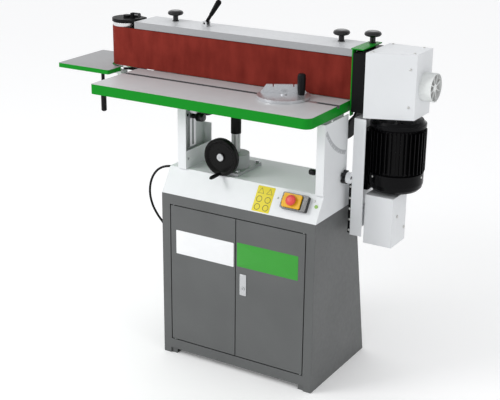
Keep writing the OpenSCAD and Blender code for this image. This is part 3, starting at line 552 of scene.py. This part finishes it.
def band(mid, axis_a, axis_b, half_a, half_b, corner, width, thick):
    """A closed strap: rounded loops in the plane of two axes, swept across its own width."""
    a, b = np.array(axis_a, float), np.array(axis_b, float)
    across = np.cross(a, b)
    inner = round_outline(2 * half_a, 2 * half_b, corner)
    outer = round_outline(2 * (half_a + thick), 2 * (half_b + thick), corner + thick)
    near, far = -width / 2, width / 2
    rows = [(inner, near), (outer, near), (outer, far), (inner, far), (inner, near)]
    grid = np.stack([np.array(mid) + loop[:, :1] * a + loop[:, 1:] * b + w * across for loop, w in rows])
    faces = grid_faces(len(rows) - 1, len(inner), True)
    last = grid_faces(2, len(inner), True) + (len(rows) - 2) * len(inner)
    last = np.where(last >= (len(rows) - 1) * len(inner), last - (len(rows) - 1) * len(inner), last)
    return grid[:-1].reshape(-1, 3) * MM, [faces, last]


tie_way = np.array([np.cos(np.radians(35)), np.sin(np.radians(35)), 0])
tie_mid = (*(COIL + 50.0 * tie_way[:2]), 9.7)
build("coil_tie", [band(tie_mid, tie_way, (0, 0, 1), 9.1, 9.1, 4, 9, 0.7)],
      cord_rubber, "stand")

# %% [markdown]
# Labels
#
# The doors carry a white and a green panel, and the tray a yellow one. They are vinyl: thin,
# smooth, with a hair of thickness at the rim. They are left blank apart from plain outlines.

# %% Labels
def vinyl(name, color, rough=0.35):
    mat, shader = material(name, color, rough)
    wire(mat, (tint(mat, noise(mat, 18.0, 3.0), shade(color, 0.96), shade(color, 1.03)),
               shader.inputs["Base Color"]))
    relief(mat, shader, noise(mat, 400.0, 2.0), 0.12, 0.0002)
    return mat


def face_plate(x0, x1, z0, z1, y, thick, r=3.0):
    """A thin upright panel facing the operator, from its corners, standing on the plane y."""
    mid = ((x0 + x1) / 2, y, (z0 + z1) / 2)
    return plate(round_outline(x1 - x0, z1 - z0, r), thick, thick * 0.45, mid, (1, 0, 0), (0, 0, 1))


door_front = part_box("left_door")[0][1] / MM
white_vinyl = vinyl("white_vinyl", (0.83, 0.84, 0.85))
green_vinyl = vinyl("green_vinyl", (0.022, 0.300, 0.016))
yellow_vinyl = vinyl("yellow_vinyl", (0.72, 0.60, 0.012), 0.5)
build("left_door_panel", [face_plate(-258, -8, 421, 514, door_front, 0.6)],
      white_vinyl, "left_door")
build("right_door_panel", [face_plate(6, 256, 428, 520, door_front, 0.6)],
      green_vinyl, "right_door")

TRAY_LOW, TRAY_HIGH = np.array([0, -215.0, 650.0]), np.array([0, -158.0, 738.0])
SLOPE = (TRAY_HIGH - TRAY_LOW) / np.linalg.norm(TRAY_HIGH - TRAY_LOW)
OUT = np.cross((1, 0, 0), SLOPE)


def on_slope(x, s, lift=0.0):
    """A point on the tray's slanted front: x along, s up the slope, lift out of it."""
    return np.array([x, 0, 0]) + TRAY_LOW + SLOPE * s + OUT * lift


build("tray_panel", [plate(round_outline(70, 94, 3), 0.5, 0.2, on_slope(97, 51), (1, 0, 0), SLOPE)],
      yellow_vinyl, "stand")


def outline_ring(points, width):
    """A flat raised band along a closed outline: a grid of its outer, top and inner rows."""
    mid = points.mean(0)
    inner = mid + (points - mid) * (1 - width)
    rows = [(points, 0.0), (points, 0.25), (inner, 0.25), (inner, 0.0), (points, 0.0)]
    grid = np.stack([np.stack([on_slope(x, s, 0.5 + h) for x, s in row]) for row, h in rows])
    return grid.reshape(-1, 3) * MM, [grid_faces(len(rows), len(points), True)]


ring_t = np.linspace(0, 2 * np.pi, 28, endpoint=False)
circle = 11.5 * np.stack([np.cos(ring_t), np.sin(ring_t)], -1)
corner_t = np.radians([90, 210, 330])
corners = 14.0 * np.stack([np.cos(corner_t), np.sin(corner_t)], -1)
triangle = np.vstack([np.linspace(corners[i], corners[(i + 1) % 3], 8, endpoint=False) for i in range(3)])
signs = [outline_ring(triangle + (x, 78), 0.16) for x in (80, 114)]
signs += [outline_ring(circle + (x, s), 0.16) for x in (80, 114) for s in (21, 50)]
ink = vinyl("black_ink", (0.03, 0.028, 0.02), 0.5)
build("tray_panel_outlines", signs, ink, "stand", angle=30)

# %% [markdown]
# Screws, bolts and small fittings
#
# Pan-head screws are low domes. A group of like screws is one piece, made of one profile turned
# round each place and direction, so that a dozen cost a few hundred faces each.

# %% Fasteners
PAN_HEAD = [(0.1, 0), (1.0, 0), (1.0, 0.25), (0.86, 0.5), (0.55, 0.66), (0.2, 0.7), (0.05, 0.45)]


def screws(places, r, profile=PAN_HEAD, sides=20):
    """One turned head of radius r at each (point, direction)."""
    return [lathe(np.array(profile) * r, point, way, sides) for point, way in places]


hood_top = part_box("dust_hood")[1][2] / MM
hood_front = np.array([62.0, -161.0, 0]) / np.hypot(62, 161)
front_at = lambda x, z: (x, -17 + (x - 385) * 62 / 161, z)
build("hood_screws", screws(
    [((x, y, hood_top), (0, 0, 1)) for x, y in ((402, 165), (517, 165), (528, 60), (400, 8))]
    + [(front_at(526, z), hood_front) for z in (1165, 1035)], 4.5), zinc, "head")
motor_axis = np.array([470.0, 92.0])
fan_ways = [np.array([np.sin(a), -np.cos(a), 0]) for a in np.radians([-32, 88, 208])]
build("fan_cover_screws", screws([((*(motor_axis + 96.6 * way[:2]), 780), way) for way in fan_ways], 4.0),
      zinc, "motor")
build("tray_screws", screws([(on_slope(150, 66), OUT), (on_slope(292, 80), OUT)], 3.5),
      zinc, "stand")
box_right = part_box("oscillator_box")[1][0] / MM
build("gearbox_screws", screws([((box_right, y, z), (1, 0, 0)) for y, z in ((43, 637), (107, 579))], 6.0),
      zinc, "motor")
lamp_glass, _ = material("lamp_lens", (0.25, 0.42, 0.10), 0.15, Coat_Weight=1.0, Emission_Strength=0.15,
                         Emission_Color=(0.3, 0.6, 0.1, 1))
build("pilot_lamp", [lathe([(0.1, 0), (6.5, 0), (6.5, 1.5), (5.0, 2.0), (4.6, 4.0), (2.5, 5.6), (0.1, 6.0)],
                           on_slope(302, 62), OUT)], lamp_glass, "stand")

# %% [markdown]
# The slide strip
#
# The motor rides up and down on its channel between the channel's web and a black keeper strip,
# held by a row of cap screws.

# %% Slide strip
web_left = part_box("motor_bracket")[0][0] / MM + 14
strip = plate(round_outline(18, 190, 2), 12, 1.2, (web_left, 0, 655), (0, -1, 0), (0, 0, 1))
build("slide_strip", [strip], black_satin, "head")
strip_bolts = [((web_left - 6, -9, z), (0, -1, 0)) for z in (572, 612, 652, 692, 735)]
build("slide_strip_bolts", screws(strip_bolts, 4.5), zinc, "head")

# %% [markdown]
# Handwheel cap, clamp washer and peg
#
# A bright cap closes the bore of the handwheel, and a bright washer lies between the star knob and
# its lug. The knob's shank runs 16 mm past its face, so the face is found from the shank's end.

# %% Hubs
wheel_low, wheel_high = (np.array(c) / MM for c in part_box("handwheel"))
wheel_mid = (wheel_low + wheel_high) / 2
HUB = [(0.1, -1), (13.5, -1), (14, 2), (13.5, 4), (11, 5), (4.5, 5), (4, 3.6), (0.1, 3.4)]
build("handwheel_hub_cap", [lathe(HUB, (wheel_mid[0], wheel_low[1] + 5, wheel_mid[2]), (0, -1, 0))],
      turned_steel, "handwheel")
star_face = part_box("tilt_lock_knob")[1][0] / MM - 16
WASHER = [(0.1, -0.5), (13.5, -0.5), (14, 0), (14, 1.3), (13.5, 1.8), (0.1, 1.8)]
build("clamp_knob_washer", [lathe(WASHER, (star_face, -20, 770), (1, 0, 0))], turned_steel,
      "tilt_lock")
build("post_peg", [lathe([(0.1, 0), (6, 0), (6, 8), (9.5, 9), (10.5, 12), (10.5, 26), (8.5, 30), (0.1, 31)],
                         (289, -155, 815), (-1, 0, 0))], grip_plastic, "stand")

# %% [markdown]
# The tilt scale
#
# A printed band on the right post follows an arc, with long and short ticks by turns. It is a thin
# strip: rows across the band, columns along the arc.

# %% Tilt scale
SCALE_MID, SCALE_R, SCALE_W = np.array([49.0, 1097.0]), 247.0, 15.0
post_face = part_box("right_post")[1][0] / MM


def arc_strip(a0, a1, r0, r1, lift, n):
    """A thin strip between two radii and two angles about the scale's middle, on the post's face."""
    a = np.radians(np.linspace(a0, a1, n))
    row = lambda r, x: np.stack(
        [np.full(n, x), SCALE_MID[0] + r * np.cos(a), SCALE_MID[1] + r * np.sin(a)], -1)
    rows = [row(r0, post_face), row(r0, post_face + lift), row(r1, post_face + lift), row(r1, post_face)]
    return closed(np.stack(rows, 1) * MM)


scale_grey = vinyl("scale_grey", (0.42, 0.43, 0.45))
r0, r1 = SCALE_R - SCALE_W / 2, SCALE_R + SCALE_W / 2
build("tilt_scale", [arc_strip(213, 257, r0, r1, 0.4, 40)], scale_grey, "stand", angle=30)
ticks = [arc_strip(a - 0.25, a + 0.25, r1 - (9 if i % 2 == 0 else 5), r1 - 1, 0.7, 3)
         for i, a in enumerate(np.arange(214, 257, 3.5))]
build("tilt_scale_ticks", ticks, white_vinyl, "stand", angle=30)

# %% [markdown]
# Studio
#
# A pale floor that runs out of the picture, a white sky, a large soft lamp from the upper left and
# a weak one from the right give the flat, clean light of a catalogue picture. The sky is a little
# dimmer overhead and to the right, so that each box shows three different faces.

# %% Floor and light
floor_mesh = bpy.data.meshes.new("floor")
floor_mesh.from_pydata([(-20, -20, 0), (20, -20, 0), (20, 20, 0), (-20, 20, 0)], [], [(0, 1, 2, 3)])
floor = bpy.data.objects.new("floor", floor_mesh)
bpy.context.scene.collection.objects.link(floor)
floor_mesh.materials.append(material("pale_floor", (0.98, 0.98, 0.98), 0.8, Specular_IOR_Level=0.1,
                                Emission_Color=(1, 1, 1, 1), Emission_Strength=0.1)[0])

world = bpy.data.worlds.new("studio")
world.use_nodes = True
sky = world.node_tree
toward = sky.nodes.new("ShaderNodeTexCoord")
height = sky.nodes.new("ShaderNodeSeparateXYZ")
product = sky.nodes.new("ShaderNodeMath")
product.operation = "MULTIPLY"
sky.links.new(toward.outputs["Generated"], height.inputs[0])
for i, (axis, ends) in enumerate({"Z": (0.0, 1.0, 1.10, 0.92), "X": (-0.6, 0.9, 1.06, 0.62)}.items()):
    level = sky.nodes.new("ShaderNodeMapRange")
    for key, value in zip(("From Min", "From Max", "To Min", "To Max"), ends):
        level.inputs[key].default_value = value
    sky.links.new(height.outputs[axis], level.inputs["Value"])
    sky.links.new(level.outputs["Result"], product.inputs[i])
sky.links.new(product.outputs[0], sky.nodes["Background"].inputs["Strength"])
sky.nodes["Background"].inputs["Color"].default_value = (0.985, 0.99, 1.0, 1)
bpy.context.scene.world = world


def softbox(name, place, target, size, power):
    lamp = bpy.data.lights.new(name, "AREA")
    lamp.shape, lamp.size, lamp.size_y, lamp.energy = "RECTANGLE", size[0], size[1], power
    thing = bpy.data.objects.new(name, lamp)
    bpy.context.scene.collection.objects.link(thing)
    thing.location = place
    thing.rotation_euler = (Vector(target) - Vector(place)).to_track_quat("-Z", "Y").to_euler()
    return thing


softbox("key", (-2.4, -2.8, 3.2), (0, 0, 0.8), (1.6, 1.2), 55)
softbox("rim", (2.6, -1.2, 2.2), (0.3, 0, 0.9), (0.4, 1.6), 5)
bpy.context.scene.view_settings.view_transform = "Standard"
print("studio ready")
